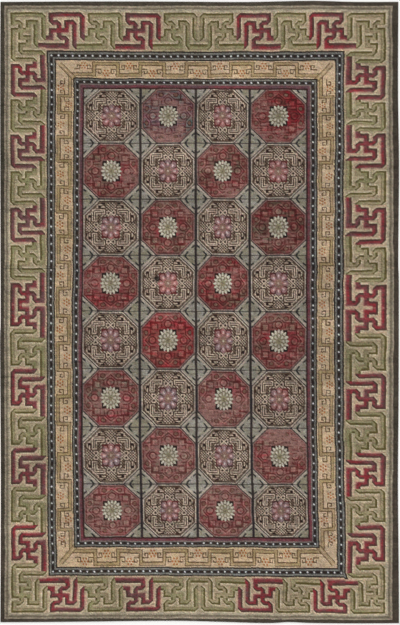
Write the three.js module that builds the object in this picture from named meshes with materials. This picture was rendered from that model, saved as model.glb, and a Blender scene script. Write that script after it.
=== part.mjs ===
// A Chinese silk pile rug lying flat on the floor, made in one piece: knotted pile on its woven ground.
// Millimetres, +Z up. The rug's length runs along Y and its face is up.
import * as THREE from "three";

// Nominal size between the straight sides, and the whole height of ground and pile.
const WIDTH = 1990;
const LENGTH = 3102;
const THICKNESS = 7;

// The pile leans over and the ground turns up along the rim, so the edge is rounded.
const RIM_ROUND = 2.2;
const RIM_STEPS = 3;
const STEPS_PER_STRETCH = 4;

const SILK_COLOUR = 0x8a735c;
const SILK_ROUGHNESS = 0.82;

// Hand-made sides wander. Each row gives a place along its side and how far the edge stands out there.
const FAR_END = [
  { at: -995, out: -1.5 },
  { at: -540, out: 1 },
  { at: -100, out: 0 },
  { at: 230, out: -2 },
  { at: 555, out: 4 },
  { at: 780, out: -1.5 },
  { at: 995, out: -1 },
];
const RIGHT_SIDE = [
  { at: 1551, out: -1 },
  { at: 1110, out: -2.5 },
  { at: 740, out: 2.5 },
  { at: 270, out: -1 },
  { at: 130, out: 1.5 },
  { at: -430, out: 0.5 },
  { at: -850, out: -3 },
  { at: -1270, out: 1 },
  { at: -1551, out: 2.5 },
];
const NEAR_END = [
  { at: 995, out: 5 },
  { at: 780, out: 6 },
  { at: 555, out: 4 },
  { at: 445, out: -0.5 },
  { at: 335, out: 4.5 },
  { at: 100, out: -2 },
  { at: -100, out: -7 },
  { at: -320, out: -6 },
  { at: -540, out: -3 },
  { at: -760, out: -1 },
  { at: -995, out: 0 },
];
const LEFT_SIDE = [
  { at: -1551, out: 0.5 },
  { at: -850, out: -2 },
  { at: -150, out: 2 },
  { at: 0, out: -1 },
  { at: 980, out: 1.5 },
  { at: 1551, out: 0 },
];

const last = (rows) => rows[rows.length - 1];

// The four corners, each where the ends of two neighbouring sides meet.
function corners() {
  const left = -WIDTH / 2;
  const right = WIDTH / 2;
  const near = -LENGTH / 2;
  const far = LENGTH / 2;
  return {
    farLeft: new THREE.Vector2(left - last(LEFT_SIDE).out, far + FAR_END[0].out),
    farRight: new THREE.Vector2(right + RIGHT_SIDE[0].out, far + last(FAR_END).out),
    nearRight: new THREE.Vector2(right + last(RIGHT_SIDE).out, near - NEAR_END[0].out),
    nearLeft: new THREE.Vector2(left - LEFT_SIDE[0].out, near - last(NEAR_END).out),
  };
}

// The places between a side's two corners.
const between = (rows, toPoint) => rows.slice(1, -1).map(toPoint);

function rugOutline() {
  const corner = corners();
  const far = between(FAR_END, ({ at, out }) => new THREE.Vector2(at, LENGTH / 2 + out));
  const right = between(RIGHT_SIDE, ({ at, out }) => new THREE.Vector2(WIDTH / 2 + out, at));
  const near = between(NEAR_END, ({ at, out }) => new THREE.Vector2(at, -LENGTH / 2 - out));
  const left = between(LEFT_SIDE, ({ at, out }) => new THREE.Vector2(-WIDTH / 2 - out, at));

  const outline = new THREE.Shape();
  outline.moveTo(corner.farLeft.x, corner.farLeft.y);
  outline.splineThru([...far, corner.farRight]);
  outline.splineThru([...right, corner.nearRight]);
  outline.splineThru([...near, corner.nearLeft]);
  outline.splineThru([...left, corner.farLeft]);
  return outline;
}

// A flat slab with a rounded rim, its origin at the middle of its underside.
function rugGeometry() {
  const slab = new THREE.ExtrudeGeometry(rugOutline(), {
    depth: THICKNESS - 2 * RIM_ROUND,
    curveSegments: STEPS_PER_STRETCH,
    bevelEnabled: true,
    bevelThickness: RIM_ROUND,
    bevelSize: RIM_ROUND,
    bevelOffset: -RIM_ROUND,
    bevelSegments: RIM_STEPS,
  });
  slab.computeBoundingBox();
  const middle = slab.boundingBox.getCenter(new THREE.Vector3());
  slab.translate(-middle.x, -middle.y, -slab.boundingBox.min.z);
  return slab;
}

function rug() {
  const silk = new THREE.MeshStandardMaterial({
    color: SILK_COLOUR,
    roughness: SILK_ROUGHNESS,
    metalness: 0,
  });
  const mesh = new THREE.Mesh(rugGeometry(), silk);
  mesh.name = "rug";
  return mesh;
}

const part = new THREE.Group();
part.add(rug());

export default part;
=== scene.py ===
"""An old Chinese silk rug lying flat: a key-fret border, a gold ribbon border and a field of octagons.

The design is drawn as a weaver's chart. One step of the chart is 5 mm, u runs to the right and v runs
towards the near end, both from the far left corner. The border is one quarter, turned over for the other
three, and the field has two octagon tiles. Each knot of the pile then takes its yarn from the chart.
"""

import math

import bpy
import numpy as np
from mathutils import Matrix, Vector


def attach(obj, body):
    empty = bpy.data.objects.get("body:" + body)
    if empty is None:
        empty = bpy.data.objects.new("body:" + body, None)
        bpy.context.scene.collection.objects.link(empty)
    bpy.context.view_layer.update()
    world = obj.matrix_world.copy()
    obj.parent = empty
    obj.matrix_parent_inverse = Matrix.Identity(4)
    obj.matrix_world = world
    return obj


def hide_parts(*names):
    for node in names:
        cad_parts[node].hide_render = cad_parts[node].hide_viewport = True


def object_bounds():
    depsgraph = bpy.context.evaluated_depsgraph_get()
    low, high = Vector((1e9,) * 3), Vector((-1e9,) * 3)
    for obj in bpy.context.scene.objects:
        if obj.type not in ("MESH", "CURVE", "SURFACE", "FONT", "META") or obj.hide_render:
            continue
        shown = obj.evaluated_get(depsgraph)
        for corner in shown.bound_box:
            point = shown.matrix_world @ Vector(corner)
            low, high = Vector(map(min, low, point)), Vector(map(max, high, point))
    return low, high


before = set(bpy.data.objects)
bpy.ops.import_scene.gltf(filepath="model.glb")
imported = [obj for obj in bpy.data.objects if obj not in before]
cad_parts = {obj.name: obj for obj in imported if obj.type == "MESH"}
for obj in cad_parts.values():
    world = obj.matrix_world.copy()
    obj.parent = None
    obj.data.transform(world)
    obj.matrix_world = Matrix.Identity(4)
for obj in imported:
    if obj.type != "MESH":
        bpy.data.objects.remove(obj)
cad_low, cad_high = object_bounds()

# Real sizes, in metres, and how far the ground keeps in from the rim as a share of the rug
STEP = 0.005
PILE_TOP = 0.0066
KNOT_UNEVEN = 0.00022
LIE_UNEVEN = 0.0007
GROUND_TOP = 0.0024
GROUND_FOOT = 0.0003
GROUND_SQUARE = 0.022
EDGE_WANDER = 0.03
GROUND_INSET = 0.0012

# The pile's knots, counted in lengthwise strips of equal width
STRIPS = 6
KNOTS_PER_STRIP = 88
KNOT_ROWS = 826

# The rim rolls over from the floor to the top: how far in, and what share of the height
RIM_INSET = (0.0, 0.0, 0.0005, 0.0014, 0.0028)
RIM_SHARE = (0.04, 0.45, 0.72, 0.90, 0.98)

# The chart's plan, in steps
FINE = 5
PLAN_WIDTH = 395.0
PLAN_LENGTH = 620.0
FRET_START = 10.0
FRET_PITCH = 7.5
FRET_END = 47.5
GOLD_START = 56.5
GOLD_END = 74.1
FIELD_START = 84.9
CELL = 56.0
HAIR = 0.001

# Bands from the edge inward: where each ends, in steps, and its yarn
BANDS = (
    (4.2, "edge brown"), (6.0, "stripe light"), (8.4, "stripe olive"), (11.0, "stripe bright"),
    (FRET_END, "ground"), (48.9, "black"), (50.5, "slate"), (53.6, "navy"), (55.0, "slate"),
    (GOLD_START, "black"), (GOLD_END, "gold"), (75.5, "black"), (76.7, "slate"), (79.8, "navy"),
    (81.1, "mauve"), (83.5, "plum"), (FIELD_START, "plum dark"),
)

# Lines of the plan: the rim, the edge band, the fret's outer and inner bars, and the bands inside it
PLAN_LINES = (0.0, 4.2, 11.3, 41.3, FRET_END, GOLD_START, GOLD_END, 81.1, FIELD_START)
# Where those lines really lie, in steps, at a few stations of each side
LEFT_LINES = (
    (0.5, 4.6, 10.4, 39.9, 47.2, 56.5, 74.0, 80.8, 84.2),
    (0.5, 4.6, 10.0, 39.5, 46.7, 55.2, 72.0, 79.4, 82.5),
    (0.5, 4.7, 10.5, 40.1, 47.2, 55.9, 72.3, 78.9, 81.6),
    (0.5, 4.8, 11.1, 40.8, 48.1, 57.2, 74.5, 82.0, 85.8),
)
RIGHT_LINES = (
    (398.6, 392.2, 385.8, 352.2, 344.1, 335.0, 317.7, 309.7, 306.2),
    (398.9, 393.6, 386.6, 352.0, 343.5, 333.6, 317.2, 309.9, 306.3),
    (398.5, 392.9, 386.0, 352.0, 343.7, 334.2, 317.2, 310.0, 306.6),
    (398.2, 392.2, 385.3, 352.7, 346.0, 337.0, 319.8, 312.5, 309.2),
)
FAR_LINES = (
    (1.6, 5.8, 12.2, 43.0, 50.4, 60.1, 77.6, 84.7, 88.8),
    (1.8, 6.1, 12.9, 44.0, 51.8, 61.5, 78.7, 85.9, 89.8),
    (1.5, 5.8, 12.4, 42.9, 51.1, 61.0, 79.0, 86.0, 90.1),
)
NEAR_LINES = (
    (621.2, 618.5, 612.4, 583.6, 575.8, 567.0, 547.4, 540.4, 537.0),
    (620.8, 618.4, 611.2, 583.1, 575.9, 566.8, 547.2, 540.4, 537.0),
    (622.6, 619.9, 613.7, 585.6, 577.5, 567.9, 548.3, 541.4, 537.0),
)
# Bar edges along the fret: on the plan of the sides and the ends, then as they really lie
SIDE_BARS = (
    41.3, 48.8, 56.3, 63.8, 98.7, 138.8, 173.7, 213.8, 248.7, 288.8,
    331.2, 371.3, 406.2, 446.3, 481.2, 521.3, 556.2, 563.7, 571.2, 578.7,
)
END_BARS = (48.8, 83.7, 123.8, 158.7, 197.5, 236.3, 271.2, 311.3, 346.2, 353.7, 361.2)
LEFT_BARS = (
    42.8, 50.3, 57.3, 64.0, 97.1, 134.4, 168.2, 208.0, 242.4, 283.0,
    326.9, 368.4, 405.8, 447.9, 484.3, 525.0, 560.3, 568.4, 575.7, 583.7,
)
RIGHT_BARS = (
    43.2, 51.5, 58.8, 65.6, 100.0, 133.3, 168.2, 207.5, 244.7, 284.7,
    330.7, 373.6, 409.1, 452.8, 486.6, 525.0, 561.7, 570.6, 577.8, 585.3,
)
FAR_BARS = (48.6, 84.8, 125.3, 160.8, 198.4, 236.7, 270.9, 308.9, 343.8, 352.7, 362.3)
NEAR_BARS = (49.9, 84.8, 125.8, 160.8, 199.6, 238.0, 272.9, 312.7, 347.6, 355.55, 363.5)
# Further places inside the fret, as real places and plan places, at the lines' stations
ACROSS_PLACES = ((198.2,), (197.5,))
ALONG_PLACES = (
    ((133.3, 206.3, 305.0, 408.0, 487.0), (137.5, 212.5, 310.0, 407.5, 482.5)),
    ((136.0, 306.0, 487.0), (136.0, 310.0, 484.0)),
    ((135.3, 208.3, 307.5, 409.0, 487.0), (137.5, 212.5, 310.0, 407.5, 482.5)),
)
# Where those stations lie, in steps: the first and last are the fret's, the others the lines'
STATION_V = (49.0, 50.5, 310.0, 440.0, 573.0, 583.0)
STATION_U = (45.5, 47.0, 198.0, 343.8, 345.2)
FRET_LINES = 3

# The gold border's ribbon runs ahead of the fret on the long sides, in steps
RIBBON_SLIP = 3.2
RIBBON_SLIP_REACH = 215.0
RIBBON_SLIP_RISE = 1.6

# The field's lattice, in steps: its columns at four stations and its rows on both sides
FIELD_COLUMNS = (
    (83.0, 140.6, 195.9, 249.5, 307.3),
    (81.3, 139.7, 195.9, 249.7, 307.3),
    (81.6, 140.1, 196.6, 251.5, 307.6),
    (83.5, 142.2, 198.0, 253.5, 309.4),
)
FIELD_STATION_V = (88.0, 310.0, 440.0, 537.0)
FIELD_STATION_U = (83.0, 307.3)
FIELD_ROWS = (
    (88.5, 143.3, 199.2, 255.4, 310.9, 368.5, 426.6, 483.8, 537.0),
    (89.0, 143.5, 198.8, 255.6, 311.7, 370.8, 428.3, 484.5, 537.4),
)

# Light that the silk's surface gives back over its dye, and the darkest dye
SURFACE_GLOSS = 0.011
DARKEST_DYE = 0.004

# How much each knot is set off from its neighbours
CRISPNESS = 0.6

# The rug's middle on the chart, and the photo's size in pixels, each of which is one step
MIDDLE_U = 199.5
MIDDLE_V = 312.1
PHOTO_WIDTH = 400
PHOTO_LENGTH = 625

# Yarns: two tones of each, which drift into each other over the rug
YARNS = {
    "edge brown": ((70, 62, 55), (66, 62, 53)),
    "stripe light": ((140, 130, 114), (136, 125, 109)),
    "stripe bright": ((161, 151, 131), (149, 140, 122)),
    "stripe olive": ((112, 103, 88), (110, 101, 86)),
    "ground": ((167, 149, 124), (148, 139, 112)),
    "ground light": ((184, 169, 144), (175, 163, 138)),
    "ground pink": ((184, 154, 132), (170, 145, 125)),
    "green": ((150, 136, 110), (128, 125, 91)),
    "green dark": ((90, 81, 48), (96, 88, 59)),
    "green edge": ((128, 114, 87), (132, 120, 95)),
    "red": ((130, 51, 56), (100, 72, 73)),
    "red dark": ((86, 57, 54), (83, 63, 57)),
    "red edge": ((144, 86, 83), (124, 95, 89)),
    "black": ((46, 38, 34), (52, 44, 38)),
    "navy": ((56, 55, 57), (62, 58, 54)),
    "slate": ((114, 113, 109), (106, 103, 95)),
    "mauve": ((113, 102, 99), (116, 100, 95)),
    "white": ((184, 182, 180), (196, 195, 193)),
    "gold": ((184, 162, 137), (180, 156, 124)),
    "ribbon": ((158, 135, 107), (148, 129, 93)),
    "ribbon line": ((76, 56, 36), (80, 60, 38)),
    "flower": ((150, 96, 60), (145, 90, 50)),
    "plum": ((110, 61, 66), (92, 70, 75)),
    "plum dark": ((64, 40, 38), (58, 38, 36)),
    "sage": ((126, 120, 102), (140, 136, 129)),
    "lattice": ((45, 41, 44), (60, 54, 50)),
    "lattice flank": ((90, 82, 80), (88, 80, 75)),
    "arrow": ((46, 48, 51), (56, 54, 52)),
    "pale": ((150, 140, 130), (158, 147, 134)),
    "brown": ((44, 30, 24), (54, 38, 31)),
    "dun": ((114, 97, 84), (108, 92, 79)),
    "umber": ((86, 70, 59), (80, 65, 55)),
    "tan": ((178, 159, 142), (163, 145, 130)),
    "outline": ((172, 158, 144), (150, 138, 126)),
    "maroon": ((76, 60, 58), (94, 44, 42)),
    "pink": ((126, 107, 109), (148, 99, 95)),
    "pink light": ((184, 168, 168), (188, 148, 142)),
    "pink heart": ((128, 106, 95), (134, 104, 93)),
    "russet": ((112, 80, 70), (108, 84, 74)),
    "red outline": ((130, 98, 93), (124, 97, 93)),
    "madder": ((0, 0, 0), (0, 0, 0)),
    "madder dark": ((0, 0, 0), (0, 0, 0)),
    "madder light": ((0, 0, 0), (0, 0, 0)),
    "ivory": ((150, 142, 124), (156, 148, 131)),
    "ivory light": ((182, 175, 160), (172, 165, 149)),
    "ivory line": ((110, 100, 84), (114, 104, 87)),
    "saffron": ((132, 124, 97), (128, 120, 98)),
}
YARN = {name: number for number, name in enumerate(YARNS)}

# The madder dyes, each with its faded share, and those of the red octagons, row by row
MADDERS = {
    "plum": ((90, 83, 85), 0.5),
    "crimson": ((112, 62, 60), 0.24),
    "garnet": ((113, 46, 48), 0.3),
    "scarlet": ((128, 60, 60), 0.12),
    "brick": ((110, 66, 63), 0.42),
    "oxblood": ((92, 62, 56), 0.3),
    "rose": ((117, 80, 76), 0.4),
}
MADDER_ROWS = (
    ("plum", "garnet"), ("brick", "brick"), ("brick", "oxblood"), ("crimson", "crimson"),
    ("scarlet", "crimson"), ("rose", "rose"), ("rose", "brick"), ("rose", "rose"),
)
MADDER_WORK = {"madder dark": (0.73, 0.56, 0.56), "madder light": (1.14, 1.2, 1.18)}
MADDER_PATCH_TINT = (10.0, -10.0, -4.5)
FADED = (138, 104, 98)
FADED_MOST = 0.95
FADED_WORK = 2.0
# Where the red has faded more or less, as (u, v, half across, half along, change of the share)
FADED_SPOTS = (
    (180.0, 120.0, 9.0, 12.0, 0.4), (262.0, 118.0, 13.0, 26.0, 0.45),
    (278.0, 136.0, 26.0, 13.0, 0.5), (290.0, 103.0, 21.0, 17.0, -0.5),
    (131.0, 172.0, 9.0, 26.0, 0.35), (92.0, 286.0, 9.0, 24.0, 0.25),
    (130.0, 282.0, 10.0, 22.0, -0.3), (204.0, 270.0, 12.0, 14.0, 0.25),
    (240.0, 300.0, 12.0, 12.0, -0.3), (190.0, 338.0, 8.0, 22.0, 0.3),
    (258.0, 346.0, 10.0, 14.0, 0.3), (300.0, 348.0, 9.0, 14.0, 0.3),
    (102.0, 382.0, 16.0, 12.0, -0.3), (222.0, 414.0, 26.0, 13.0, 0.35),
    (168.0, 440.0, 24.0, 12.0, 0.2), (278.0, 455.0, 28.0, 28.0, 0.45),
)

# One unit of the key fret, as (column, row) from its base row: a close last point bevels an end
FRET_UNIT = (
    ((2, 1), (1, 1), (1, 0), (0, 0), (0, 4), (3, 4), (3, 4.01)),
    ((2, 1), (2, 2), (1, 2), (1, 3), (4, 3), (4, 3.01)),
    ((2, 1), (2, 0), (3, 0), (3, -0.36)),
    ((2, 1), (3, 1), (3, 2), (4, 2), (4, -1.36)),
)
FRET_BEVELS = ((1, 0), (1, 1), (0, 4), (3, 4), (3, 1), (3, 2), (1, 3), (4, 3))
FRET_CORNER = (
    ((1, 2), (1, 1), (0, 1), (0, 0), (4, 0), (4, 3), (4.01, 3)),
    ((1, 2), (2, 2), (2, 1), (3, 1), (3, 4), (3.01, 4)),
    ((1, 2), (0, 2), (0, 6), (3, 6), (3, 6.01)),
    ((1, 2), (1, 3), (2, 3), (2, 4), (1, 4), (1, 5), (4, 5), (4, 5.01)),
)
CORNER_BEVELS = ((1, 1), (4, 0), (4, 3), (3, 4), (0, 6), (3, 6), (1, 5), (4, 5))
FRET_MIDDLE = ((23.64, 4), (25.36, 4))
SIDE_BASES = (7, 12, 17, 22, 27, 32, 37)
END_BASES = (5, 10, 15, 20)
BAR_HALF = 0.32
BEVEL = 0.45
DARK_EDGE = 2.0
THIN_EDGE = 1.0
BRIGHT_EDGE = 1.2

# White dots on the guard stripes, in steps: depth, and pitch on the sides and the ends
OUTER_DOTS = (52.0, 8.6, 6.95)
INNER_DOTS = (78.3, 8.2, 7.1)
DOT_RADIUS = 0.8
# Black blocks between the dots: their start as a share of the pitch, and their half width in steps
BLOCK_START = 0.27
BLOCK_HALF = 0.92

# The gold border, in steps: places along its ribbon, and depths from its outer edge
RIBBON_START = 71.5
POCKET_START = 73.5
SIDE_CROSSINGS = (93.0, 113.3, 142.0, 167.0, 195.0, 220.6, 245.2, 270.5, 296.5)
END_CROSSINGS = (95.0, 118.0, 140.5, 163.5, 186.0)
RIBBON_INNER = 14.4
RIBBON_OUTER = 2.8
RIBBON_HALF = 1.2
RIBBON_EDGE = 2.0
GOLD_MIDDLE = 8.7
FLOWER_DEPTHS = (5.0, 12.4)
FLOWER_ROWS = ((-2.5, (-1.5, 1.5)), (0.0, (-3.0, 0.0, 3.0)), (2.5, (-1.5, 1.5)))
FLOWER_DOT = 0.95
HOOK_PATH = ((1.6, 0.0), (6.6, 0.0), (6.6, 4.0), (3.8, 4.0), (3.8, 2.2))
HOOK_HALF = 0.5
# The mitred corner: how far from the diagonal each yarn reaches, and the depth that it starts at
MITRE = ((3.4, "ribbon line"), (2.6, "ribbon"), (0.5, "gold"))
MITRE_OUTER = 2.0

# Wear: how dull the yarns have become, and a dark blot, in steps as (u, v, radius)
DULLED = 0.978
BLOT = (157.2, 279.0, 3.3)
BLOT_DARK = 0.55
# Darker places, or lighter where the share is negative, as (u, v, half across, half along, share)
SHADES = (
    (305.0, 260.0, 45.0, 150.0, 0.06), (64.0, 300.0, 10.0, 200.0, 0.045),
    (266.0, 120.0, 17.0, 25.0, 0.08), (200.0, 6.0, 190.0, 8.0, -0.09),
    (200.0, 30.0, 150.0, 18.0, 0.05), (200.0, 82.0, 120.0, 4.5, -0.13),
    (200.0, 543.0, 120.0, 4.5, -0.1), (200.0, 571.0, 140.0, 5.0, -0.08),
    (200.0, 619.0, 190.0, 6.0, -0.09),
)
# Painted shade along thin creases across the rug, in steps, as (v, from u, to u), and how dark it is
CREASE_SHADOW_LINES = ((268.6, 3.0, 56.0), (362.0, 72.0, 83.0), (377.0, 0.0, 15.0))
CREASE_SHADOW_DARK = 0.25

# Soft noise, as layers of (strength, size of its patches in steps, seed)
STRAY_U = ((0.5, 15.0, 51), (0.22, (26.0, 1.3), 52))
STRAY_V = ((0.5, 15.0, 53), (0.16, (1.5, 26.0), 54))
TONE_DRIFT = ((0.45, 22.0, 11), (0.3, 6.0, 12), (0.35, (3.0, 1.1), 13))
DYE_LOTS = (
    (0.055, (160.0, 7.0), 21), (0.04, (400.0, 2.4), 22), (0.05, 40.0, 23),
    (0.06, 4.0, 24), (0.08, (3.0, 0.9), 25),
)
MADDER_PATCHES = ((0.8, (24.0, 12.0), 31), (1.1, (4.5, 2.6), 34))
MADDER_MOTTLE = ((0.16, (3.4, 2.2), 35),)
MADDER_FADING = ((0.44, (6.0, 1.2), 32), (0.495, (34.0, 15.0), 33))
PILE_LIE = ((LIE_UNEVEN, 30.0, 41),)
# The area that the noise covers, in steps
NOISE_WIDTH = 460
NOISE_LENGTH = 700

# The field's share of the stray, the tones' drift over the rug, and differences from knot to knot
FIELD_STRAY = 0.6
CORNER_DRIFT = 0.2
KNOT_SHADE = 0.065
KNOT_TINT = 0.022

# How far round a knot its colour is gathered, in steps, on the pile and on the back
PILE_SPREAD = 0.22
BACK_SPREAD = 1.4
# The back's share of dyed yarn, and the plain yarn that makes up the rest
BACK_DYED = 0.55
BACK_PLAIN = (150.0, 132.0, 108.0)


def chart_grid(left, top, right, bottom):
    """Chart places u and v at the middle of each chart square."""
    u = left + (np.arange(round((right - left) * FINE)) + 0.5) / FINE
    v = top + (np.arange(round((bottom - top) * FINE)) + 0.5) / FINE
    return np.meshgrid(u, v)


def moved(mask, du, dv):
    """A mask moved by du and dv chart squares, with nothing coming in at the edges."""
    result = np.zeros_like(mask)
    rows, columns = mask.shape
    result[max(dv, 0):rows + min(dv, 0), max(du, 0):columns + min(du, 0)] = \
        mask[max(-dv, 0):rows + min(-dv, 0), max(-du, 0):columns + min(-du, 0)]
    return result


def fret_square(column):
    """The chart square of a place on the fret's grid."""
    return (FRET_START + FRET_PITCH * (column + 0.5)) * FINE


def draw_bar(mask, start, end):
    """Fills one straight bar of the fret between two grid places."""
    spans = []
    for low, high in map(sorted, zip(start, end)):
        spans.append(slice(round(fret_square(low - BAR_HALF)), round(fret_square(high + BAR_HALF))))
    mask[spans[1], spans[0]] = True


def cut_corner(mask, before, bend, after):
    """Takes the outer corner off a bend of the fret."""
    side_u = -np.sign(before[0] - bend[0]) - np.sign(after[0] - bend[0])
    side_v = -np.sign(before[1] - bend[1]) - np.sign(after[1] - bend[1])
    tip_u = fret_square(bend[0] + side_u * BAR_HALF)
    tip_v = fret_square(bend[1] + side_v * BAR_HALF)
    leg = round(BEVEL * FRET_PITCH * FINE)
    for row in range(leg):
        v = round(tip_v - side_v * (row + 0.5) - 0.5)
        reach = leg - row
        start = round(min(tip_u, tip_u - side_u * reach))
        mask[v, max(start, 0):max(start, 0) + reach] = False


def draw_paths(mask, paths, bevels, base, turned):
    """Draws a fret motif from its base row, turned over the diagonal for the rug's ends."""
    def place(point):
        column, row = point[0], point[1] + base
        return (row, column) if turned else (column, row)

    for path in paths:
        for start, end in zip(path, path[1:]):
            draw_bar(mask, place(start), place(end))
    for path in paths:
        for before, bend, after in zip(path, path[1:], path[2:]):
            if bend in bevels:
                cut_corner(mask, place(before), place(bend), place(after))


def fret_masks(shape):
    """The red bars and the green bars of one quarter of the key fret."""
    spare = round(3 * FRET_PITCH * FINE)
    red = np.zeros((shape[0] + spare, shape[1] + spare), bool)
    green = np.zeros_like(red)
    draw_paths(green, FRET_CORNER, CORNER_BEVELS, 0, False)
    for bases, turned in ((SIDE_BASES, False), (END_BASES, True)):
        for number, base in enumerate(bases):
            draw_paths((red, green)[number % 2], FRET_UNIT, FRET_BEVELS, base, turned)
    draw_bar(green, *FRET_MIDDLE)
    return red[:shape[0], :shape[1]], (green & ~red)[:shape[0], :shape[1]]


def paint_fret(chart, depth):
    """Paints the fret's bars, with a broad dark edge and a thin one, and the ground by them."""
    red, green = fret_masks(chart.shape)
    bars = red | green
    broad, thin, bright = (round(width * FINE) for width in (DARK_EDGE, THIN_EDGE, BRIGHT_EDGE))
    dark = bars & ~(moved(bars, broad, 0) & moved(bars, 0, broad))
    edge = bars & ~dark & ~(moved(bars, -thin, 0) & moved(bars, 0, -thin))
    by_red = np.zeros_like(red)
    for shift in (-broad, broad):
        by_red |= moved(red, shift, 0) | moved(red, 0, shift)
    gaps = (depth > FRET_START) & (depth < FRET_END) & ~bars
    chart[gaps & by_red] = YARN["ground pink"]
    chart[gaps & (moved(bars, -bright, 0) | moved(bars, 0, -bright))] = YARN["ground light"]
    for mask, name in ((red, "red"), (green, "green")):
        chart[mask] = YARN[name]
        chart[mask & dark] = YARN[name + " dark"]
        chart[mask & edge] = YARN[name + " edge"]


def paint_dots(chart, depth, along, side, row):
    """Paints white dots along a guard stripe, with black blocks between them."""
    centre, side_pitch, end_pitch = row
    pitch = np.where(side, side_pitch, end_pitch)
    offset = (along - centre + pitch / 2) % pitch - pitch / 2
    spot = (depth - centre) ** 2 + offset ** 2 < DOT_RADIUS ** 2
    block = (abs(offset) > pitch * BLOCK_START) & (abs(depth - centre) < BLOCK_HALF)
    chart[block] = YARN["black"]
    chart[spot] = YARN["white"]


def bar_mask(along, across, first, second, half):
    """Where a place lies on a square-ended bar between two points."""
    low_along, high_along = sorted((first[0], second[0]))
    low_across, high_across = sorted((first[1], second[1]))
    inside = (along > low_along - half) & (along < high_along + half)
    return inside & (across > low_across - half) & (across < high_across + half)


def ribbon_bars(crossings, end):
    """The straight lines that the gold border's ribbon follows, as pairs of points."""
    bars = []
    stops = (RIBBON_START,) + crossings + (end,)
    for number, (first, last) in enumerate(zip(stops, stops[1:])):
        level = RIBBON_INNER if number % 2 == 0 else RIBBON_OUTER
        bars.append(((first, level), (last, level)))
    for crossing in crossings:
        bars.append(((crossing, RIBBON_OUTER), (crossing, RIBBON_INNER)))
    return bars


def pocket_marks(crossings, end):
    """Each pocket of the gold border, as its two ends and its flower's depth."""
    stops = (POCKET_START,) + crossings + (2 * end - crossings[-1],)
    for number, (first, last) in enumerate(zip(stops, stops[1:])):
        yield first, last, FLOWER_DEPTHS[number % 2]


def paint_flower(chart, along, across, part, middle, level):
    """Seven small dots in rows of two, three and two."""
    for row, shifts in FLOWER_ROWS:
        for shift in shifts:
            spot = (along - middle - shift) ** 2 + (across - level - row) ** 2 < FLOWER_DOT ** 2
            chart[spot & part] = YARN["flower"]


def paint_hook(chart, along, across, part, place, way, lean):
    """A square spiral from a crossing towards the pocket's flower."""
    points = [(place + way * step, GOLD_MIDDLE + lean * rise) for step, rise in HOOK_PATH]
    for first, second in zip(points, points[1:]):
        chart[bar_mask(along, across, first, second, HOOK_HALF) & part] = YARN["ribbon line"]


def paint_gold(chart, depth, along, side):
    """Paints the gold border's ribbon, flowers and hooks, and its mitred corner."""
    across = depth - GOLD_START
    gold = (depth > GOLD_START) & (depth < GOLD_END)
    runs = (
        (side & gold, SIDE_CROSSINGS, PLAN_LENGTH / 2),
        (~side & gold, END_CROSSINGS, PLAN_WIDTH / 2),
    )
    for part, crossings, end in runs:
        for half, name in ((RIBBON_EDGE, "ribbon line"), (RIBBON_HALF, "ribbon")):
            for first, second in ribbon_bars(crossings, end):
                chart[bar_mask(along, across, first, second, half) & part] = YARN[name]
        for first, last, flower in pocket_marks(crossings, end):
            lean = math.copysign(1, flower - GOLD_MIDDLE)
            paint_flower(chart, along, across, part, (first + last) / 2, flower)
            paint_hook(chart, along, across, part, first, 1, lean)
            paint_hook(chart, along, across, part, last, -1, lean)
    for reach, name in MITRE:
        chart[gold & (along - depth < reach) & (across > MITRE_OUTER)] = YARN[name]


def border_chart():
    """One quarter of the borders, from the far left corner to the middle of each side."""
    u, v = chart_grid(0, 0, PLAN_WIDTH / 2, PLAN_LENGTH / 2)
    depth = np.minimum(u, v)
    along = np.maximum(u, v)
    side = u < v
    chart = np.full(u.shape, YARN["plum dark"], np.uint8)
    for end, name in reversed(BANDS):
        chart[depth < end] = YARN[name]
    paint_dots(chart, depth, along, side, OUTER_DOTS)
    paint_dots(chart, depth, along, side, INNER_DOTS)
    paint_fret(chart, depth)
    paint_gold(chart, depth, along, side)
    return chart


def line_mask(u, v, start, end, half):
    """Where a place lies within half a line's width of a straight line."""
    length_u, length_v = end[0] - start[0], end[1] - start[1]
    square = length_u ** 2 + length_v ** 2
    share = np.clip(((u - start[0]) * length_u + (v - start[1]) * length_v) / square, 0, 1)
    return (u - start[0] - share * length_u) ** 2 + (v - start[1] - share * length_v) ** 2 < half ** 2


def eightfold_lines(u, v, paths, half):
    """Where a tile's line-work lies: paths in one quarter, and turned over its diagonal."""
    mask = np.zeros(u.shape, bool)
    far_u, far_v = abs(u), abs(v)
    for path in paths:
        for start, end in zip(path, path[1:]):
            mask |= line_mask(far_u, far_v, start, end, half)
            mask |= line_mask(far_v, far_u, start, end, half)
    return mask


# Line-work of the brown octagon, in steps from its centre, for one half of one quarter
LIGHT_PATHS = (
    ((16.7, 6.0), (16.7, 16.7)),
    ((14.8, 7.6), (14.8, 14.8)),
    ((12.9, 9.4), (12.9, 12.9)),
    ((20.6, 12.3), (18.4, 12.3)),
    ((16.7, 6.0), (13.0, 6.0), (13.0, 8.0)),
    ((21.4, 7.2), (21.4, 10.4), (19.4, 10.4)),
    ((19.4, 5.8), (19.4, 8.6)),
    ((21.6, 10.2), (15.9, 15.9)),
    ((21.9, 3.4), (21.9, 5.6)),
)
DARK_PATHS = (
    ((17.7, 7.4), (17.7, 17.7)),
    ((15.75, 7.0), (15.75, 15.75)),
    ((13.85, 8.6), (13.85, 13.85)),
    ((21.3, 12.2), (16.9, 16.6)),
    ((14.8, 5.0), (12.0, 5.0)),
)
LINE_HALF = 0.44
LEAVES = ((22.4, 7.1, 1.1, 1.9), (19.5, 10.4, 1.3, 1.4))
CURL = (13.5, 2.1, 1.7)
DIAMOND = (20.4, 5.3)
TRELLIS = 2.5
TRELLIS_REACH = 4.4
FILLING = 2.9
WORK_SPREAD = 1.06
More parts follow.
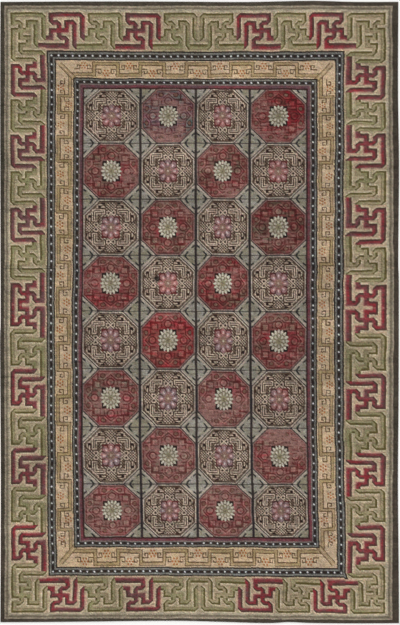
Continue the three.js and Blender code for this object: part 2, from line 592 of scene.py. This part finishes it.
# Where the trellis and the filling are light and dark, on their waves from -1 to 1
TRELLIS_LIGHT = -0.2
TRELLIS_DARK = 0.5
FILLING_LIGHT = -0.4
FILLING_DARK = 0.6

# Line-work of the red octagon, in the same way
RED_LIGHT_PATHS = (
    ((18.8, 8.4), (18.8, 18.0)),
    ((22.6, 14.4), (19.6, 14.4)),
    ((10.6, 12.2), (10.6, 16.4)),
)
RED_DARK_PATHS = (
    ((17.2, 6.4), (17.2, 17.2)),
    ((22.8, 12.2), (18.0, 12.2)),
    ((12.6, 6.4), (15.6, 6.4)),
)
RED_LINE_HALF = 0.65
KEY_SQUARE = (13.0, 3.4)
RING = (15.4, 3.4)
CHEVRON = (24.0, 0.85, 6.5)
CHEVRON_SHADOW = 1.6
RED_LEAF = (21.5, 7.4, 2.4, 2.9)
RED_LEAF_HEART = 0.62

# The octagon, in steps, and the rings inside its outline, as (depth, yarn)
OCTAGON_HALF_U = 26.4
OCTAGON_HALF_V = 27.1
OCTAGON_SLANT = 38.7
BROWN_RINGS = ((0.0, "outline"), (0.95, "brown"), (1.805, "dun"), (2.47, "umber"))
RED_RINGS = ((0.0, "red outline"), (0.95, "madder dark"), (1.9, "madder"))

# The corners between octagons, in steps: lattice lines and the arrow heads on them
LATTICE_FLANK_U = 1.4
LATTICE_HALF_U = 0.95
LATTICE_HALF_V = 0.5
ARROW_TIP = 10.8
ARROW_SLOPE = 0.75
ARROW_HALF = 1.0
ARROW_REACH = 4.2
SPANDREL_EDGE = 2.8
OUTLINE = 0.95

# The rosettes and the dark squares under them, in steps: half across and half along
PINK_SQUARE = (8.9, 10.9)
PINK_ROSETTE = (10.2, 11.8)
PINK_FRAME = 1.12
DASH_GAP = -0.35
IVORY_SQUARE = (8.6, 10.2)
IVORY_ROSETTE = (10.0, 11.3)
# Petals: how many, and their middle reach and its swing as shares of the radius
PINK_PETALS = (8, 0.93, 0.07)
IVORY_PETALS = (16, 0.88, 0.12)
IVORY_LOOPS = 8
# Rings of the rosettes, as (from radius, to radius, from wave, to wave, yarn)
PINK_RINGS = (
    (0.36, 2.0, -2.0, -0.86, "russet"),
    (0.6, 2.0, -2.0, -0.8, "maroon"),
    (0.52, 0.76, 0.6, 2.0, "pink light"),
    (-1.0, 0.36, -2.0, 2.0, "pink heart"),
    (0.13, 0.36, 0.8, 2.0, "russet"),
    (-1.0, 0.1, -2.0, 2.0, "tan"),
)
IVORY_RINGS = (
    (0.6, 0.86, -2.0, -0.7, "ivory line"),
    (-1.0, 0.64, -2.0, 2.0, "ivory"),
)
IVORY_LOOP_RINGS = (
    (0.57, 0.67, -0.3, 2.0, "ivory line"),
    (0.26, 0.58, -2.0, -0.6, "ivory line"),
    (0.34, 0.54, 0.7, 2.0, "ivory light"),
    (-1.0, 0.25, -2.0, 2.0, "saffron"),
    (-1.0, 0.1, -2.0, 2.0, "ivory line"),
)


def paint_spandrels(chart, u, v, straight, slant):
    """The corners between octagons, by the depth inside their straight and slanting sides."""
    from_u = CELL / 2 - abs(u)
    from_v = CELL / 2 - abs(v)
    chart[:] = YARN["sage"]
    chart[slant > -SPANDREL_EDGE] = YARN["pale"]
    for along, across in ((from_v, from_u), (from_u, from_v)):
        barb = abs(along + ARROW_SLOPE * across - ARROW_TIP) < ARROW_HALF
        chart[barb & (across < ARROW_REACH)] = YARN["arrow"]
    chart[(slant > -OUTLINE) & (slant < OUTLINE)] = YARN["lattice"]
    chart[(slant > 0) & (straight < 0)] = YARN["lattice flank"]
    chart[from_u < LATTICE_FLANK_U] = YARN["lattice flank"]
    chart[from_u < LATTICE_HALF_U] = YARN["lattice"]
    chart[from_v < LATTICE_HALF_V] = YARN["lattice"]


def arm_places(u, v):
    """Places along a tile's nearest arm and across it, from its centre."""
    return np.maximum(abs(u), abs(v)), np.minimum(abs(u), abs(v))


def paint_brown_work(chart, u, v, inside):
    """The brown octagon's work: nested corners, curls and leaves, and a trellis on each arm."""
    along, across = arm_places(u, v)
    curl = np.hypot(along - CURL[0], across - CURL[1])
    diamond = abs(along - DIAMOND[0]) + across
    arm = inside & ((diamond < DIAMOND[1]) | ((along < DIAMOND[0]) & (across < TRELLIS_REACH)))
    holes = np.cos(2 * math.pi * along / TRELLIS) * np.cos(2 * math.pi * across / TRELLIS)
    filling = np.cos(2 * math.pi * u / FILLING) * np.cos(2 * math.pi * v / FILLING)
    chart[inside & (filling < FILLING_LIGHT)] = YARN["dun"]
    chart[inside & (filling > FILLING_DARK)] = YARN["brown"]
    chart[inside & eightfold_lines(u, v, DARK_PATHS, LINE_HALF)] = YARN["brown"]
    chart[inside & eightfold_lines(u, v, LIGHT_PATHS, LINE_HALF)] = YARN["tan"]
    for place, side, half, half_side in LEAVES:
        spot = np.hypot((along - place) / half, (across - side) / half_side) < 1
        chart[inside & spot] = YARN["brown"]
    chart[arm & (holes < TRELLIS_LIGHT)] = YARN["tan"]
    chart[arm & (holes > TRELLIS_DARK)] = YARN["brown"]
    chart[inside & (abs(curl - CURL[2]) < LINE_HALF)] = YARN["tan"]
    chart[inside & (curl < CURL[2] / 2)] = YARN["brown"]
    chart[inside & (abs(diamond - DIAMOND[1] - LINE_HALF) < LINE_HALF)] = YARN["brown"]


def paint_red_work(chart, u, v, inside):
    """The red octagon's work: rings and chevrons on its arms, leaves, and corner squares."""
    along, across = arm_places(u, v)
    ring = np.hypot(along - RING[0], across)
    chevron = along + CHEVRON[1] * across - CHEVRON[0]
    leaf = np.hypot((along - RED_LEAF[0]) / RED_LEAF[2], (across - RED_LEAF[1]) / RED_LEAF[3])
    key = np.maximum(abs(abs(u) - KEY_SQUARE[0]), abs(abs(v) - KEY_SQUARE[0]))
    arm = inside & (across < CHEVRON[2])
    chart[inside & eightfold_lines(u, v, RED_LIGHT_PATHS, RED_LINE_HALF)] = YARN["madder light"]
    chart[inside & eightfold_lines(u, v, RED_DARK_PATHS, RED_LINE_HALF)] = YARN["madder dark"]
    chart[inside & (leaf < 1)] = YARN["madder dark"]
    chart[inside & (leaf < RED_LEAF_HEART)] = YARN["russet"]
    chart[arm & (abs(chevron) < RED_LINE_HALF)] = YARN["madder light"]
    chart[arm & (abs(chevron + CHEVRON_SHADOW) < RED_LINE_HALF)] = YARN["madder dark"]
    chart[inside & (ring < RING[1] + RED_LINE_HALF)] = YARN["madder dark"]
    chart[inside & (ring < RING[1] - RED_LINE_HALF)] = YARN["madder light"]
    chart[inside & (ring < RING[1] / 3)] = YARN["madder"]
    chart[key < KEY_SQUARE[1]] = YARN["madder dark"]
    chart[key < KEY_SQUARE[1] - OUTLINE] = YARN["madder light"]


def rosette_parts(u, v, halves, petals):
    """How far out a place lies, as a share of the radius, and a wave with a crest a petal."""
    radius = np.hypot(u / halves[0], v / halves[1])
    angle = np.arctan2(u / halves[0], v / halves[1])
    return radius, np.cos(petals * angle)


def paint_rings(chart, part, radius, wave, rings):
    """Paints a rosette's rings over one another."""
    for inner, outer, low, high, name in rings:
        chart[part & (radius > inner) & (radius < outer) & (wave > low) & (wave < high)] = YARN[name]


def upright_square(u, v, halves):
    """How far out a place lies in a rosette's square, whose edge is at 1."""
    return np.maximum(abs(u) / halves[0], abs(v) / halves[1])


def paint_pink_rosette(chart, u, v):
    """Eight pink petals with bright spots, on a dark square with a broken line round it."""
    square = upright_square(u, v, PINK_SQUARE)
    dashes = np.cos(2 * math.pi * (abs(u) + abs(v)) / FILLING)
    chart[square < PINK_FRAME] = YARN["brown"]
    chart[(square < PINK_FRAME) & (dashes > DASH_GAP)] = YARN["tan"]
    chart[square < 1] = YARN["maroon"]
    petals, reach, swing = PINK_PETALS
    radius, wave = rosette_parts(u, v, PINK_ROSETTE, petals)
    chart[radius < reach + swing * wave] = YARN["pink"]
    paint_rings(chart, square < 1, radius, wave, PINK_RINGS)


def paint_ivory_rosette(chart, u, v):
    """Sixteen pointed ivory petals with an inner ring of loops, on a dark upright square."""
    chart[upright_square(u, v, IVORY_SQUARE) < 1] = YARN["brown"]
    petals, reach, swing = IVORY_PETALS
    radius, wave = rosette_parts(u, v, IVORY_ROSETTE, petals)
    chart[radius < reach + swing * wave] = YARN["ivory light"]
    paint_rings(chart, radius < 1, radius, wave, IVORY_RINGS)
    radius, loops = rosette_parts(u, v, IVORY_ROSETTE, IVORY_LOOPS)
    paint_rings(chart, radius < 1, radius, loops, IVORY_LOOP_RINGS)


def new_tile(rings):
    """A tile's places, its chart with the corners and rings painted, and its innermost part."""
    u, v = chart_grid(-CELL / 2, -CELL / 2, CELL / 2, CELL / 2)
    chart = np.zeros(u.shape, np.uint8)
    straight = np.minimum(OCTAGON_HALF_U - abs(u), OCTAGON_HALF_V - abs(v))
    slant = (OCTAGON_SLANT - abs(u) - abs(v)) / math.sqrt(2)
    paint_spandrels(chart, u, v, straight, slant)
    depth = np.minimum(straight, slant)
    for start, name in rings:
        chart[depth > start] = YARN[name]
    return u, v, chart, depth > rings[-1][0]


def brown_tile():
    """The octagon with tan key-work on brown and a pink rosette."""
    u, v, chart, inside = new_tile(BROWN_RINGS)
    paint_brown_work(chart, u / WORK_SPREAD, v / WORK_SPREAD, inside)
    paint_pink_rosette(chart, u, v)
    return chart


def red_tile():
    """The octagon with dark key-work on madder red and an ivory rosette."""
    u, v, chart, inside = new_tile(RED_RINGS)
    paint_red_work(chart, u, v, inside)
    paint_ivory_rosette(chart, u, v)
    return chart


def placing(low, high, between, size):
    """Real places and their plan places: the lines of both sides and those between."""
    lines = PLAN_LINES[:len(low)]
    real = (*low, *between[0], *high[::-1])
    plan = (*lines, *between[1], *(size - line for line in lines[::-1]))
    return real, plan


def placings(low_lines, high_lines, fret_low, fret_high, between, size):
    """The placings at all the stations along or across the rug."""
    first = placing(low_lines[0][:FRET_LINES], high_lines[0][:FRET_LINES], fret_low, size)
    last = placing(low_lines[-1][:FRET_LINES], high_lines[-1][:FRET_LINES], fret_high, size)
    lines = zip(low_lines, high_lines, between)
    return [first] + [placing(low, high, middle, size) for low, high, middle in lines] + [last]


def to_plan(place, other, stations, placed):
    """Plan places across or along the rug, from what is placed at stations the other way."""
    result = np.zeros_like(place)
    for share, (real, plan) in zip(np.eye(len(stations)), placed):
        result += np.interp(other, stations, share) * np.interp(place, real, plan)
    return result


def plan_places(u, v):
    """Plan places of real chart places, with the rug's unevenness taken out."""
    between = (ACROSS_PLACES,) * len(LEFT_LINES)
    far, near = (FAR_BARS, END_BARS), (NEAR_BARS, END_BARS)
    left, right = (LEFT_BARS, SIDE_BARS), (RIGHT_BARS, SIDE_BARS)
    across = placings(LEFT_LINES, RIGHT_LINES, far, near, between, PLAN_WIDTH)
    along = placings(FAR_LINES, NEAR_LINES, left, right, ALONG_PLACES, PLAN_LENGTH)
    return to_plan(u, v, STATION_V, across), to_plan(v, u, STATION_U, along)


def slipped(plan_u, plan_v):
    """Plan places along the gold border's long sides, whose ribbon runs ahead of the fret."""
    depth = np.minimum(plan_u, PLAN_WIDTH - plan_u)
    gold = (depth > GOLD_START) & (depth < GOLD_END)
    share = 1 - abs(plan_v - PLAN_LENGTH / 2) / RIBBON_SLIP_REACH
    return plan_v + RIBBON_SLIP * np.clip(RIBBON_SLIP_RISE * share, 0, 1) * gold


def field_places(u, v):
    """Column and row of the field's lattice at real chart places, with fractions."""
    columns = np.arange(len(FIELD_COLUMNS[0]))
    rows = np.arange(len(FIELD_ROWS[0]))
    column = to_plan(u, v, FIELD_STATION_V, [(places, columns) for places in FIELD_COLUMNS])
    row = to_plan(v, u, FIELD_STATION_U, [(places, rows) for places in FIELD_ROWS])
    return column, row


def smooth_noise(u, v, size, seed):
    """Soft noise from -1 to 1 whose patches are about size steps across."""
    size_u, size_v = (size, size) if np.isscalar(size) else size
    shape = (int(NOISE_LENGTH / size_v) + 4, int(NOISE_WIDTH / size_u) + 4)
    grid = np.random.default_rng(seed).uniform(-1, 1, shape)
    x = np.clip(u / size_u + 1, 0, grid.shape[1] - 2)
    y = np.clip(v / size_v + 1, 0, grid.shape[0] - 2)
    column, row = x.astype(int), y.astype(int)
    x, y = x - column, y - row
    x, y = x * x * (3 - 2 * x), y * y * (3 - 2 * y)
    upper = grid[row, column] * (1 - x) + grid[row, column + 1] * x
    lower = grid[row + 1, column] * (1 - x) + grid[row + 1, column + 1] * x
    return upper * (1 - y) + lower * y


def noise_sum(u, v, layers):
    """The sum of some layers of soft noise."""
    return sum(strength * smooth_noise(u, v, size, seed) for strength, size, seed in layers)


def soft_spots(u, v, spots):
    """The sum of soft spots, each as (u, v, half across, half along, strength)."""
    result = np.zeros_like(u)
    for place_u, place_v, half_u, half_v, strength in spots:
        result += strength * np.exp(-((u - place_u) / half_u) ** 2 - ((v - place_v) / half_v) ** 2)
    return result


def chart_yarns(charts, plan_u, plan_v, column, row):
    """The yarn number at each place, from the border's chart or the field's tiles."""
    border, brown, red = charts
    fold_u = np.minimum(plan_u, PLAN_WIDTH - plan_u)
    fold_v = np.minimum(plan_v, PLAN_LENGTH - plan_v)
    rows, columns = border.shape
    at_u = np.clip((fold_u * FINE).astype(int), 0, columns - 1)
    at_v = np.clip((fold_v * FINE).astype(int), 0, rows - 1)
    result = border[at_v, at_u]
    field = (fold_u > FIELD_START) & (fold_v > FIELD_START)
    column = np.clip(column[field], 0, len(FIELD_COLUMNS[0]) - 1 - HAIR)
    row = np.clip(row[field], 0, len(FIELD_ROWS[0]) - 1 - HAIR)
    cell_u = ((column % 1) * CELL * FINE).astype(int)
    cell_v = ((row % 1) * CELL * FINE).astype(int)
    odd = (column.astype(int) + row.astype(int)) % 2 == 1
    result[field] = np.where(odd, red[cell_v, cell_u], brown[cell_v, cell_u])
    return result


def madder_at(u, v, column, row):
    """The red dye at each place, patchy and faded, and how strong the work on it is."""
    dyes = np.array([[MADDERS[name][0] for name in names] for names in MADDER_ROWS])
    fading = np.array([[MADDERS[name][1] for name in names] for names in MADDER_ROWS])
    at_row = np.clip(row.astype(int), 0, dyes.shape[0] - 1)
    at_column = np.clip(column.astype(int) // 2, 0, dyes.shape[1] - 1)
    patch = noise_sum(u, v, MADDER_PATCHES)[:, None]
    dye = dyes[at_row, at_column] + patch * np.array(MADDER_PATCH_TINT)
    dye *= 1 + noise_sum(u, v, MADDER_MOTTLE)[:, None]
    faded = fading[at_row, at_column] + noise_sum(u, v, MADDER_FADING) + soft_spots(u, v, FADED_SPOTS)
    faded = np.clip(faded, 0, FADED_MOST)[:, None]
    return dye * (1 - faded) + np.array(FADED) * faded, np.clip(FADED_WORK * (1 - faded), 0, 1)


def dyed(charts, u, v, spread):
    """The sRGB colour of each knot, from 0 to 255, over a few places in it."""
    stray_u, stray_v = noise_sum(u, v, STRAY_U), noise_sum(u, v, STRAY_V)
    plan_u, plan_v = plan_places(u + stray_u, v + stray_v)
    plan_v = slipped(plan_u, plan_v)
    column, row = field_places(u + FIELD_STRAY * stray_u, v + FIELD_STRAY * stray_v)
    tones = np.array(list(YARNS.values()), np.float32)
    drift = 0.5 + noise_sum(u, v, TONE_DRIFT) + CORNER_DRIFT * (1 - u / MIDDLE_U / 2 - v / MIDDLE_V / 2)
    drift = np.clip(drift, 0, 1)[:, None]
    madder, strength = madder_at(u, v, column, row)
    reds = {"madder": madder}
    for name, share in MADDER_WORK.items():
        reds[name] = madder * (1 - strength * (1 - np.array(share)))
    colour = np.zeros((len(u), 3))
    shifts = (-spread, 0.0, spread)
    for shift_u in shifts:
        for shift_v in shifts:
            numbers = chart_yarns(
                charts, plan_u + shift_u, plan_v + shift_v, column + shift_u / CELL, row + shift_v / CELL
            )
            colour += tones[numbers, 0] * (1 - drift) + tones[numbers, 1] * drift
            for name, red in reds.items():
                colour += red * (numbers == YARN[name])[:, None]
    return colour / len(shifts) ** 2


def weathered_and_shaded(colour, u, v):
    """The knots' colours with uneven dye lots, small differences, wear, darker places and painted shade in
    creases.
    """
    rng = np.random.default_rng(5)
    knot = KNOT_SHADE * rng.standard_normal(len(u))
    tint = KNOT_TINT * rng.standard_normal((len(u), 3))
    blot = BLOT_DARK * np.exp(-(((u - BLOT[0]) ** 2 + (v - BLOT[1]) ** 2) / BLOT[2] ** 2) ** 2)
    wear_and_shade = DULLED - blot - soft_spots(u, v, SHADES)
    # Painted shade: a thin dark line along each crease
    for place, start, end in CREASE_SHADOW_LINES:
        wear_and_shade -= CREASE_SHADOW_DARK * np.clip(1 - abs(v - place), 0, 1) * (u > start) * (u < end)
    return colour * (wear_and_shade * (1 + noise_sum(u, v, DYE_LOTS) + knot))[:, None] * (1 + tint)


def crisp(colour):
    """A grid of knot colours with each knot set off from its neighbours."""
    around = np.zeros_like(colour)
    for shift_row, shift_column in ((-1, 0), (1, 0), (0, -1), (0, 1)):
        around += np.roll(colour, (shift_row, shift_column), axis=(0, 1)) / 4
    return colour + CRISPNESS * (colour - around)


def linear(colour):
    """Linear colour from sRGB from 0 to 255."""
    share = np.clip(colour / 255.0, 0.0, 1.0)
    return np.where(share <= 0.04045, share / 12.92, ((share + 0.055) / 1.055) ** 2.4)


def under_sheen(colour):
    """The dye that gives a linear colour once the silk's gloss lies over it."""
    return np.maximum(colour - SURFACE_GLOSS, DARKEST_DYE)


def points_of(mesh):
    """A mesh's points, in rows of three."""
    points = np.empty(len(mesh.vertices) * 3)
    mesh.vertices.foreach_get("co", points)
    return points.reshape(-1, 3)


def outline_of(node):
    """The CAD solid's four edges, as (places along, places across) in metres."""
    points = points_of(node.data)
    middle = abs(points[:, 2] - points[:, 2].max() / 2)
    ring = points[middle < middle.min() + 1e-5]
    half_width, half_length = abs(ring[:, 0]).max(), abs(ring[:, 1]).max()

    def edge(chosen, along, across):
        part = ring[chosen]
        part = part[np.argsort(part[:, along])]
        return part[:, along], part[:, across]

    return {
        "left": edge(ring[:, 0] < EDGE_WANDER - half_width, 1, 0),
        "right": edge(ring[:, 0] > half_width - EDGE_WANDER, 1, 0),
        "near": edge(ring[:, 1] < EDGE_WANDER - half_length, 0, 1),
        "far": edge(ring[:, 1] > half_length - EDGE_WANDER, 0, 1),
    }


def rug_axis(count, length):
    """Shares from 0 to 1 along or across the rug, crowded at the rims, and heights there."""
    rim = np.array(RIM_INSET) / length
    middle = np.linspace(0, 1, count + 1)[1:-1]
    shares = np.concatenate((rim, middle, 1 - rim[::-1]))
    height = np.concatenate((RIM_SHARE, np.ones(count - 1), RIM_SHARE[::-1]))
    return shares, height


def rug_points(edges, shares_u, shares_v):
    """Places on the rug in metres, from shares across and along it."""
    across, along = np.meshgrid(shares_u, shares_v)
    left, right = edges["left"][1].mean(), edges["right"][1].mean()
    rough_x = left + (right - left) * across
    near = np.interp(rough_x, *edges["near"])
    far = np.interp(rough_x, *edges["far"])
    y = far + (near - far) * along
    left = np.interp(y, *edges["left"])
    right = np.interp(y, *edges["right"])
    return left + (right - left) * across, y


def chart_places(x, y):
    """Real chart places, in steps, of places on the rug in metres."""
    return MIDDLE_U + x / STEP, MIDDLE_V - y / STEP


def grid_faces(rows, columns):
    """Four-sided faces of a grid of points, facing up where rows run to the near end."""
    corner = np.arange(rows * columns).reshape(rows, columns)
    faces = np.stack((corner[:-1, :-1], corner[1:, :-1], corner[1:, 1:], corner[:-1, 1:]), axis=-1)
    return faces.reshape(-1, 4)


def new_mesh(name, points, faces):
    """A mesh object of four-sided faces, smooth shaded."""
    mesh = bpy.data.meshes.new(name)
    mesh.vertices.add(len(points))
    mesh.vertices.foreach_set("co", points.astype(np.float32).ravel())
    mesh.loops.add(faces.size)
    mesh.loops.foreach_set("vertex_index", faces.astype(np.int32).ravel())
    mesh.polygons.add(len(faces))
    mesh.polygons.foreach_set("loop_start", np.arange(0, faces.size, 4, dtype=np.int32))
    mesh.polygons.foreach_set("use_smooth", np.ones(len(faces), bool))
    mesh.update(calc_edges=True)
    mesh.validate()
    piece = bpy.data.objects.new(name, mesh)
    bpy.context.collection.objects.link(piece)
    return piece


def set_dye(piece, colour):
    """Stores a linear colour for each point as the piece's dye."""
    layer = piece.data.color_attributes.new("Dye", "FLOAT_COLOR", "POINT")
    rgba = np.ones((len(colour), 4), np.float32)
    rgba[:, :3] = colour
    layer.data.foreach_set("color", rgba.ravel())


def set_flat_map(piece):
    """A flat texture map over the piece's own rectangle."""
    mesh = piece.data
    flat = points_of(mesh)[:, :2]
    low, high = flat.min(0), flat.max(0)
    places = ((flat - low) / (high - low)).astype(np.float32)
    corners = np.empty(len(mesh.loops), np.int32)
    mesh.loops.foreach_get("vertex_index", corners)
    layer = mesh.uv_layers.new(name="OFBake")
    layer.data.foreach_set("uv", places[corners].ravel())


def pile_strips(edges, charts, material):
    """The knotted pile, in lengthwise strips that meet point for point."""
    knots = STRIPS * KNOTS_PER_STRIP
    size = cad_high - cad_low
    shares_u, height_u = rug_axis(knots, size.x)
    shares_v, height_v = rug_axis(KNOT_ROWS, size.y)
    x, y = rug_points(edges, shares_u, shares_v)
    u, v = (place.ravel() for place in chart_places(x, y))
    rng = np.random.default_rng(8)
    uneven = KNOT_UNEVEN * rng.standard_normal(len(u)) + noise_sum(u, v, PILE_LIE)
    rim = np.minimum(height_u[None, :], height_v[:, None])
    z = rim * (PILE_TOP + uneven.reshape(rim.shape) * (rim >= RIM_SHARE[-1]))
    colour = weathered_and_shaded(dyed(charts, u, v, PILE_SPREAD), u, v).reshape(rim.shape + (3,))
    colour = under_sheen(linear(crisp(colour)))
    points = np.stack((x, y, z), axis=-1)
    strips = []
    margin = len(RIM_INSET) - 1
    for number in range(STRIPS):
        first = 0 if number == 0 else margin + number * KNOTS_PER_STRIP
        last = len(shares_u) - 1 if number == STRIPS - 1 else margin + (number + 1) * KNOTS_PER_STRIP
        part = points[:, first:last + 1]
        faces = grid_faces(part.shape[0], part.shape[1])
        strip = new_mesh(f"pile_{number + 1}", part.reshape(-1, 3), faces)
        set_dye(strip, colour[:, first:last + 1].reshape(-1, 3))
        set_flat_map(strip)
        strip.data.materials.append(material)
        strips.append(strip)
    return strips


def ground_weave(edges, charts, material):
    """The woven ground under the pile: a thin closed sheet that shows the knots' backs."""
    size = cad_high - cad_low
    shares_u = np.linspace(GROUND_INSET, 1 - GROUND_INSET, round(size.x / GROUND_SQUARE))
    shares_v = np.linspace(GROUND_INSET, 1 - GROUND_INSET, round(size.y / GROUND_SQUARE))
    x, y = rug_points(edges, shares_u, shares_v)
    rows, columns = x.shape
    count = rows * columns
    top = np.stack((x, y, np.full(x.shape, GROUND_TOP)), axis=-1).reshape(-1, 3)
    foot = np.stack((x, y, np.full(x.shape, GROUND_FOOT)), axis=-1).reshape(-1, 3)
    sheet = grid_faces(rows, columns)
    number = np.arange(count).reshape(rows, columns)
    ring = np.concatenate((number[0, :-1], number[:-1, -1], number[-1, :0:-1], number[:0:-1, 0]))
    after = np.roll(ring, -1)
    wall = np.stack((ring, after, after + count, ring + count), axis=-1)
    faces = np.concatenate((sheet, sheet[:, ::-1] + count, wall))
    piece = new_mesh("ground_weave", np.concatenate((top, foot)), faces)
    u, v = chart_places(x.ravel(), y.ravel())
    backs = BACK_DYED * dyed(charts, u, v, BACK_SPREAD) + (1 - BACK_DYED) * np.array(BACK_PLAIN)
    backs = linear(weathered_and_shaded(backs, u, v))
    set_dye(piece, np.concatenate((backs, backs)))
    piece.data.materials.append(material)
    return piece


def set_inputs(node, values):
    """Sets the values of a node's inputs by their names."""
    for name, value in values.items():
        node.inputs[name].default_value = value


def silk_material(name, knot_size, knot_depth, sheen):
    """Dyed silk: the knots' colours with fine streaks, a knotted surface and a soft sheen."""
    material = bpy.data.materials.new(name)
    material.use_nodes = True
    nodes, links = material.node_tree.nodes, material.node_tree.links
    shader = nodes["Principled BSDF"]
    set_inputs(shader, {"Specular IOR Level": 0.15, "Sheen Weight": sheen, "Sheen Roughness": 0.45})
    set_inputs(shader, {"Sheen Tint": (1.0, 0.93, 0.84, 1.0)})
    place = nodes.new("ShaderNodeTexCoord")
    dye = nodes.new("ShaderNodeAttribute")
    dye.attribute_name = "Dye"
    yarns = nodes.new("ShaderNodeTexNoise")
    set_inputs(yarns, {"Scale": 620.0, "Detail": 3.0})
    streak = nodes.new("ShaderNodeMapRange")
    set_inputs(streak, {"From Min": 0.3, "From Max": 0.7, "To Min": 0.86, "To Max": 1.14})
    tone = nodes.new("ShaderNodeVectorMath")
    tone.operation = "SCALE"
    rough = nodes.new("ShaderNodeMapRange")
    set_inputs(rough, {"To Min": 0.62, "To Max": 0.88})
    knots = nodes.new("ShaderNodeTexVoronoi")
    set_inputs(knots, {"Scale": 1.0 / knot_size})
    bump = nodes.new("ShaderNodeBump")
    bump.invert = True
    set_inputs(bump, {"Strength": 0.5, "Distance": knot_depth})
    wires = (
        (place, "Object", yarns, "Vector"),
        (place, "Object", knots, "Vector"),
        (yarns, "Fac", streak, "Value"),
        (yarns, "Fac", rough, "Value"),
        (dye, "Color", tone, "Vector"),
        (streak, "Result", tone, "Scale"),
        (tone, "Vector", shader, "Base Color"),
        (rough, "Result", shader, "Roughness"),
        (knots, "Distance", bump, "Height"),
        (bump, "Normal", shader, "Normal"),
    )
    for source, output, target, entry in wires:
        links.new(source.outputs[output], target.inputs[entry])
    return material


def make_floor():
    """A plain pale floor, wide enough for every view."""
    half = 40.0
    points = np.array(((-half, half, 0), (half, half, 0), (half, -half, 0), (-half, -half, 0)), float)
    floor = new_mesh("floor", points, np.array(((3, 2, 1, 0),)))
    material = bpy.data.materials.new("floor_paint")
    material.use_nodes = True
    shader = material.node_tree.nodes["Principled BSDF"]
    set_inputs(shader, {"Base Color": (0.97, 0.97, 0.965, 1.0)})
    set_inputs(shader, {"Roughness": 0.9, "Specular IOR Level": 0.1})
    floor.data.materials.append(material)


def make_light():
    """Even soft studio light from all round, with a gentle key from the far left."""
    world = bpy.data.worlds.new("studio")
    world.use_nodes = True
    sky = world.node_tree.nodes["Background"]
    set_inputs(sky, {"Color": (1.0, 0.99, 0.975, 1.0), "Strength": 0.83})
    bpy.context.scene.world = world
    key = bpy.data.lights.new("key", "SUN")
    key.energy = 0.8
    key.angle = math.radians(25)
    lamp = bpy.data.objects.new("key", key)
    lamp.rotation_euler = (math.radians(-32), math.radians(-28), 0)
    bpy.context.collection.objects.link(lamp)


def make_camera():
    """A long lens straight above the rug, with the far end at the top of the frame."""
    distance = 16.0
    frame_length = PHOTO_LENGTH * STEP
    lens = bpy.data.cameras.new("camera")
    lens.sensor_width = 36.0
    lens.lens = lens.sensor_width * distance / frame_length
    lens.clip_end = 200.0
    camera = bpy.data.objects.new("camera", lens)
    camera.location = ((PHOTO_WIDTH / 2 - MIDDLE_U) * STEP, (MIDDLE_V - PHOTO_LENGTH / 2) * STEP, distance)
    bpy.context.collection.objects.link(camera)
    bpy.context.scene.camera = camera
    bpy.context.scene.view_settings.view_transform = "Standard"


def make_rug():
    """The pile and its ground, declared as one sheet of cloth."""
    charts = border_chart(), brown_tile(), red_tile()
    edges = outline_of(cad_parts["rug"])
    pile_silk = silk_material("silk_pile", knot_size=0.0032, knot_depth=0.0009, sheen=0.22)
    ground_silk = silk_material("silk_ground", knot_size=0.0024, knot_depth=0.0005, sheen=0.08)
    strips = pile_strips(edges, charts, pile_silk)
    ground = ground_weave(edges, charts, ground_silk)
    for piece in strips + [ground]:
        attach(piece, "root")
    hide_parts("rug")


make_floor()
make_light()
make_camera()
make_rug()
